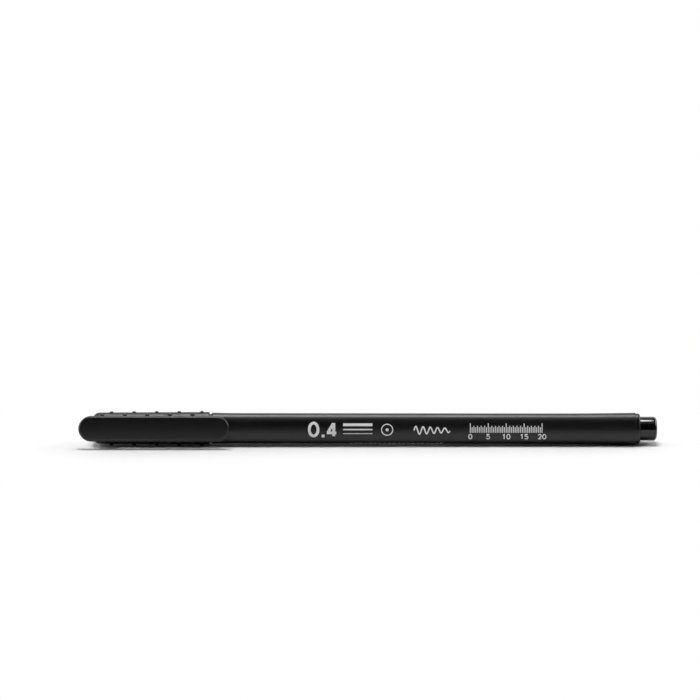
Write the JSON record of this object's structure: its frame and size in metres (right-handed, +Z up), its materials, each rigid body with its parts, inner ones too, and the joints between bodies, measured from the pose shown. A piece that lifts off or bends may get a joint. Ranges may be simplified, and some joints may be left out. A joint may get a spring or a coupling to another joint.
{
  "type": "fineliner pen",
  "caption": "Capped fineliner pen with a rounded triangular barrel, a pull-off cap with grip nubs and a wide pocket clip, and a round tail post.",
  "frame": {"origin": "middle of the footprint of the capped pen, on the table that it lies on", "axes": "+X along the pen axis from the cap to the tail, +Z up from the table; the clip faces -Y, turned up by the angle at which the pen rests on the cap's nubs"},
  "size_m": [0.1616, 0.0122, 0.0096],
  "materials": {
    "barrel_plastic": "satin black",
    "plug_plastic": "gloss black",
    "section_plastic": "satin black",
    "sleeve_steel": "drawn",
    "nib_fibre": "inked fibre",
    "reservoir_fibre": "inked fibre",
    "wrap_film": "clear film",
    "cap_plastic": "fine matt grain",
    "seal_plastic": "waxy"
  },
  "bodies": {
    "pen": {"barrel": "barrel_plastic", "end_plug": "plug_plastic", "front_section": "section_plastic", "nib_sleeve": "sleeve_steel", "nib": "nib_fibre", "ink_reservoir": "reservoir_fibre", "reservoir_wrap": "wrap_film"},
    "cap": {"cap_shell": "cap_plastic", "inner_seal": "seal_plastic"},
    "clip": {"clip": "cap_plastic"}
  },
  "joints": [
    {"name": "cap_pull", "type": "slide", "parent": "pen", "child": "cap", "axis": [-1, 0, 0], "range_m": [0, 0.045]},
    {"name": "clip_flex", "type": "hinge", "parent": "cap", "child": "clip", "pos_m": [-0.07564, -0.00398, 0.00566], "axis": [0, -0.2334, -0.9724], "range_deg": [0, 4], "stiffness_Nm_per_rad": 0.8}
  ]
}
